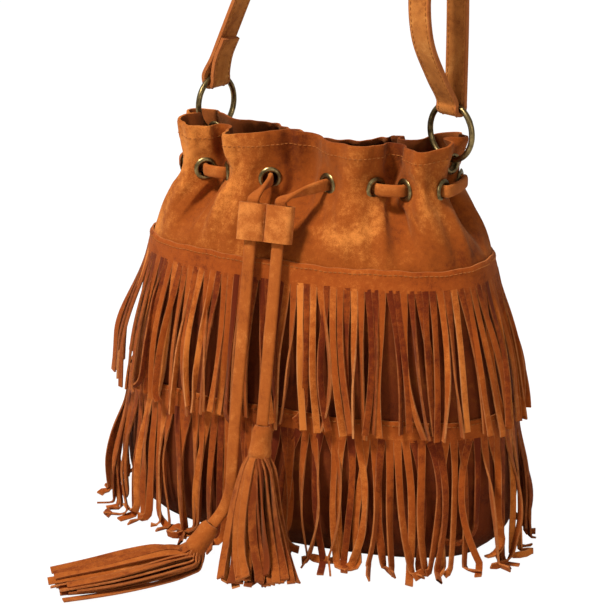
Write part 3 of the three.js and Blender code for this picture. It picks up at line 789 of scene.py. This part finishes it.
def make_fringe(name, middle, top, flare, node_name, seed, strays=()):
    draw = np.random.default_rng(seed)
    shape = Shape()
    shares = middle + np.linspace(-HALF_SHARE, HALF_SHARE, 220)
    low, high = FRINGE_IN, FRINGE_IN + FRINGE
    rows = np.linspace(BAND, 0, 8)
    lip = 0.5 * np.cos(2 * math.pi * 9 * shares) + 0.3 * np.cos(2 * math.pi * 31 * shares)
    inner, outer = [], []
    for row in rows:
        points, out = wall(shares, top - row)
        points[:, 2] += lip * (1 - row / BAND)
        puff = 0.5 * math.sin(math.pi * min(1, row / 5)) - 0.2 * smoothstep(row, 4, 0)
        inner.append(points + out * low)
        outer.append(points + out * (high + puff))
    add_grid(shape, np.stack(inner, axis=1), np.stack(outer, axis=1), (0, 0, 1))
    pitch = 2 * HALF_SHARE / STRIPS
    floor_bound = top < STRIP_LENGTH
    bowed = 4.2 if floor_bound else 2.6
    for k in range(STRIPS):
        share = middle - HALF_SHARE + pitch * (k + 0.5)
        long = STRIP_LENGTH + (draw.normal(6, 7) if floor_bound else draw.normal(0, 3.0))
        sway = draw.normal(0, 3.0) + 4.5 * math.sin(0.62 * k + seed)
        curl = 0.0
        if draw.random() < (0.5 if floor_bound else 0.06):
            curl = draw.choice([-1, 1]) * draw.uniform(0.7, 2.5 if floor_bound else 1.2)
        at_left = max(0.0, 1 - abs((share % 1) - 0.75) / 0.11)
        stand = flare * draw.uniform(0.25, 1) + 1.5 * (k % 2) + abs(sway) * 0.3 + 9 * at_left
        for stray, reach in strays:
            stand += reach * max(0.0, 1 - abs(k - stray) / 1.2)
        path, face = strip_path(share, top, long, stand, sway, curl, bowed, draw)
        part = np.linspace(0, 1, len(path))
        slit = draw.uniform(0.0, 0.1)
        spin = draw.normal(0, 0.85) * smoothstep(part, slit, slit + draw.uniform(0.3, 0.7))
        twist = draw.normal(0, 0.3) * np.sin(part * draw.uniform(4, 9))
        spin = spin + twist * smoothstep(part, slit, 0.6)
        along = unit(np.gradient(path, axis=0))
        across = unit(np.cross(face, along))
        wide = across * np.cos(spin)[:, None] + face * np.sin(spin)[:, None]
        room = np.linalg.norm(wall(share + pitch / 2, top)[0] - wall(share - pitch / 2, top)[0])
        narrowing = draw.uniform(0.1, 0.3) * smoothstep(part, slit, slit + 0.2)
        width = room * (1.03 - narrowing) + 0.9 * part
        path = path + face * (np.abs(np.sin(spin)) * width * 0.35)[:, None]
        lowest = TIP_CLEAR + np.abs(wide[:, 2]) * width / 2
        path[:, 2] = np.maximum(path[:, 2], lowest)
        tone = draw.normal(0, 0.17) + (0.16 if draw.random() < 0.16 else 0.0)
        # Painted shade: each strip is darker at its top and lighter towards its tip, and the lower
        # tier is darker still, for the shadow under the upper fringe; the random part above is the
        # suede's own tone.
        tone = tone + 0.16 * part - (0.2 if floor_bound else 0.1)
        add_sweep(shape, path, wide, width, FRINGE, FLAT, FLAT_KINDS, tone)
    piece = shape.make(name, [FRINGE_FACE, CUT], "bag", [node_name])
    thread = Shape()
    points, out = wall(shares, top - STITCH_DROP)
    points[:, 2] += lip * (1 - STITCH_DROP / BAND)
    add_stitches(thread, points + out * (high + 0.45), out)
    thread.make(f"{name}_thread", [THREAD], "bag")
    return piece


front_fringe = [
    make_fringe("fringe_upper_front", 0.0, SEAM_RISE, 4.0, "upper_fringe_front", 21),
    make_fringe(
        "fringe_lower_front", 0.0, LOWER_SEAM_RISE, 4.5, "lower_fringe_front", 22, FRONT_STRAYS
    ),
]
back_fringe = [
    make_fringe("fringe_upper_back", 0.5, SEAM_RISE, 4.0, "upper_fringe_back", 23),
    make_fringe(
        "fringe_lower_back", 0.5, LOWER_SEAM_RISE, 4.5, "lower_fringe_back", 24, BACK_STRAYS
    ),
]

# Eyelets and rings

EYELET = [
    (5.05, -2.3), (5.3, -2.62), (5.9, -2.8), (6.8, -2.62),
    (7.6, -2.2), (8.05, -1.65), (7.6, -1.5), (5.95, -1.5),
]
EYELET += [(radius, -height) for radius, height in EYELET[::-1]]
EYELET_ROUNDS = 40
RING_ROUNDS = 96
WIRE_SIDES = 16


def make_round(name, points, body, node_name):
    """A brass piece that closes on itself, from its sections."""
    faces = tube_faces(*points.shape[:2], closed=True)
    shape = Shape()
    shape.add(points.reshape(-1, 3), faces, [0] * len(faces))
    shape.make(name, [BRASS], body, [node_name], 50)


def make_eyelet(name, place):
    at, out = place[0][0], place[1][0]
    across = np.cross(out, UP)
    turn = np.linspace(0, 2 * math.pi, EYELET_ROUNDS, endpoint=False)
    spot = across * np.cos(turn)[:, None] + UP * np.sin(turn)[:, None]
    profile = np.array(EYELET)
    points = at + spot[:, None] * profile[None, :, :1] + out * profile[None, :, 1:]
    make_round(f"brass_{name}", points, "bag", name)


for index, place in enumerate(lace_places):
    make_eyelet(f"lace_eyelet_{index + 1}", place)
for sign, place in ring_places.items():
    make_eyelet(f"ring_eyelet_{sign}", place)

RING_RADIUS = 19
RING_WIRE = 4
RING_LIFT = 21.05
RING_ANGLES = {"left": math.radians(74), "right": math.radians(-25)}
ring_centres = {sign: place[0][0] + UP * RING_LIFT for sign, place in ring_places.items()}


def heading(angle):
    return np.array([math.cos(angle), math.sin(angle), 0])


def make_ring(sign):
    """A bent wire ring with the small ridge of its welded joint."""
    flat = heading(RING_ANGLES[sign])
    axis = np.cross(flat, UP)
    turn = np.linspace(0, 2 * math.pi, RING_ROUNDS, endpoint=False)
    weld = np.exp(-(((np.mod(turn - 0.55 + math.pi, 2 * math.pi) - math.pi) / 0.035) ** 2))
    ring = flat * np.cos(turn)[:, None] + UP * np.sin(turn)[:, None]
    around_wire = np.linspace(0, 2 * math.pi, WIRE_SIDES, endpoint=False)[::-1]
    thick = (RING_WIRE / 2 + 0.18 * weld)[:, None, None]
    points = ring[:, None] * (RING_RADIUS + thick * np.cos(around_wire)[None, :, None])
    points = ring_centres[sign] + points + axis * thick * np.sin(around_wire)[None, :, None]
    make_round(f"brass_ring_{sign}", points, f"ring_{sign}", f"ring_{sign}")


make_ring("left")
make_ring("right")

# Shoulder strap: sewn round the left ring, over the shoulder, through the right ring to a lap

STRAP_WIDTH = 18
STRAP_THICK = 3
STRAP_TAB = 28
STRAP_LAP = 26
STRAP_LEAN = 0.42
STRAP_DROP = 268
LOOP_HALF = 4.1
RING_SAG = RING_RADIUS - math.sqrt(RING_RADIUS**2 - (STRAP_WIDTH / 2) ** 2)
LAYER_HALF = 1.75
LAP_OFFSET = -2
SLACK_RUN = [(14, 18), (29, 48), (31, 84), (18, 112)]
CROWN = [(-26, 14, 122, 62), (-2, 14, 52, 52), (24, 13, 8, 40), (46, 12, 2, 28), (70, 12, 24, 6)]


def beside(sign, offset, height, lean=0.0):
    flat = heading(RING_ANGLES[sign])
    at = ring_centres[sign] + UP * (RING_RADIUS + height) + np.cross(flat, UP) * offset
    return at + ACROSS * lean * max(0, height - RING_WIRE), flat


def loop_under(sign, way, lean=0.0):
    turns = [math.pi * k / 4 for k in range(5)]
    bend = [(way * LOOP_HALF * math.cos(t), -RING_SAG - LOOP_HALF * math.sin(t)) for t in turns]
    bend = [(way * LOOP_HALF, 2), *bend, (-way * LOOP_HALF, 2)]
    return [beside(sign, x, z, lean) for x, z in bend]


def strap_stations():
    lap = STRAP_DROP / 2
    crown_rise = ring_centres["left"][2] + RING_RADIUS + STRAP_DROP
    down = STRAP_TAB, STRAP_TAB / 2
    up = STRAP_TAB / 2, STRAP_TAB, 2 * STRAP_TAB
    stations = [beside("left", LAYER_HALF, height, STRAP_LEAN) for height in down]
    stations += loop_under("left", 1, STRAP_LEAN)
    stations += [beside("left", -LAYER_HALF, height, STRAP_LEAN) for height in up]
    for x, y, below, turn in CROWN:
        stations.append((np.array([x, y, crown_rise - below]), heading(math.radians(turn))))
    stations += [beside("right", LAP_OFFSET, lap + STRAP_LAP), beside("right", LAP_OFFSET, lap)]
    stations.append(beside("right", -LOOP_HALF, STRAP_DROP / 5))
    stations += loop_under("right", -1)
    stations += [beside("right", offset, height) for offset, height in SLACK_RUN]
    back_up = LAP_OFFSET + 2 * LAYER_HALF
    return stations + [beside("right", back_up, lap + 2), beside("right", back_up, lap + STRAP_LAP)]


def make_strap():
    stations = strap_stations()
    path = spline([at for at, wide in stations], 8)
    wide = spread([wide for at, wide in stations], 8)
    shape = Shape()
    add_sweep(shape, path, wide, STRAP_WIDTH, STRAP_THICK, FLAT, FLAT_KINDS)
    strap = shape.make("strap", [STRAP, CUT], "bag", ["shoulder_strap"])
    along = unit(np.gradient(path, axis=0))
    wide = unit(wide - along * (wide * along).sum(axis=1, keepdims=True))
    thin = np.cross(along, wide)
    thread = Shape()
    for edge in (-1, 1):
        for face in (-1, 1):
            run = path + wide * edge * (STRAP_WIDTH / 2 - 2.3) + thin * face * STRAP_THICK / 2
            add_stitches(thread, run, thin * face, 3.8, 2.6)
    thread.make("strap_thread", [THREAD], "bag")


make_strap()
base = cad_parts["base_panel"]
base.data.materials.clear()
base.data.materials.append(WALL)

# Studio: a pale floor under a soft light from high on the front left, and a weak fill

floor_mesh = bpy.data.meshes.new("floor")
floor_mesh.from_pydata([(-6, -6, 0), (6, -6, 0), (6, 6, 0), (-6, 6, 0)], [], [(0, 1, 2, 3)])
floor = bpy.data.objects.new("floor", floor_mesh)
bpy.context.collection.objects.link(floor)
floor.location.z = -0.0002
paper, paper_tree, paper_shader = start_material("paper")
paper_shader.inputs["Base Color"].default_value = (0.72, 0.72, 0.72, 1)
paper_shader.inputs["Roughness"].default_value = 0.9
paper_shader.inputs["Specular IOR Level"].default_value = 0.1
glow = node(paper_tree, "ShaderNodeEmission", Color=(1, 1, 1, 1), Strength=1.12)
seen = paper_tree.nodes.new("ShaderNodeLightPath")
share_seen = paper_tree.nodes.new("ShaderNodeMath")
share_seen.operation = "MULTIPLY"
share_seen.inputs[1].default_value = 0.88
mix = paper_tree.nodes.new("ShaderNodeMixShader")
paper_tree.links.new(seen.outputs["Is Camera Ray"], share_seen.inputs[0])
paper_tree.links.new(share_seen.outputs[0], mix.inputs["Fac"])
paper_tree.links.new(paper_shader.outputs["BSDF"], mix.inputs[1])
paper_tree.links.new(glow.outputs["Emission"], mix.inputs[2])
paper_tree.links.new(mix.outputs["Shader"], paper_tree.nodes["Material Output"].inputs["Surface"])
floor_mesh.materials.append(paper)

world = bpy.data.worlds.new("studio")
bpy.context.scene.world = world
world.use_nodes = True
world.node_tree.nodes["Background"].inputs["Color"].default_value = (1, 1, 1, 1)
world.node_tree.nodes["Background"].inputs["Strength"].default_value = 0.34


def add_light(name, place, size, power):
    light = bpy.data.lights.new(name, "AREA")
    light.size = size
    light.energy = power
    lamp = bpy.data.objects.new(name, light)
    bpy.context.collection.objects.link(lamp)
    lamp.location = place
    lamp.rotation_mode = "QUATERNION"
    lamp.rotation_quaternion = (Vector((0, 0, 0.15)) - Vector(place)).to_track_quat("-Z", "Y")


add_light("key", (-0.6, -1.05, 2.1), 0.36, 68)
add_light("fill", (1.4, -1.3, 0.9), 0.8, 6)
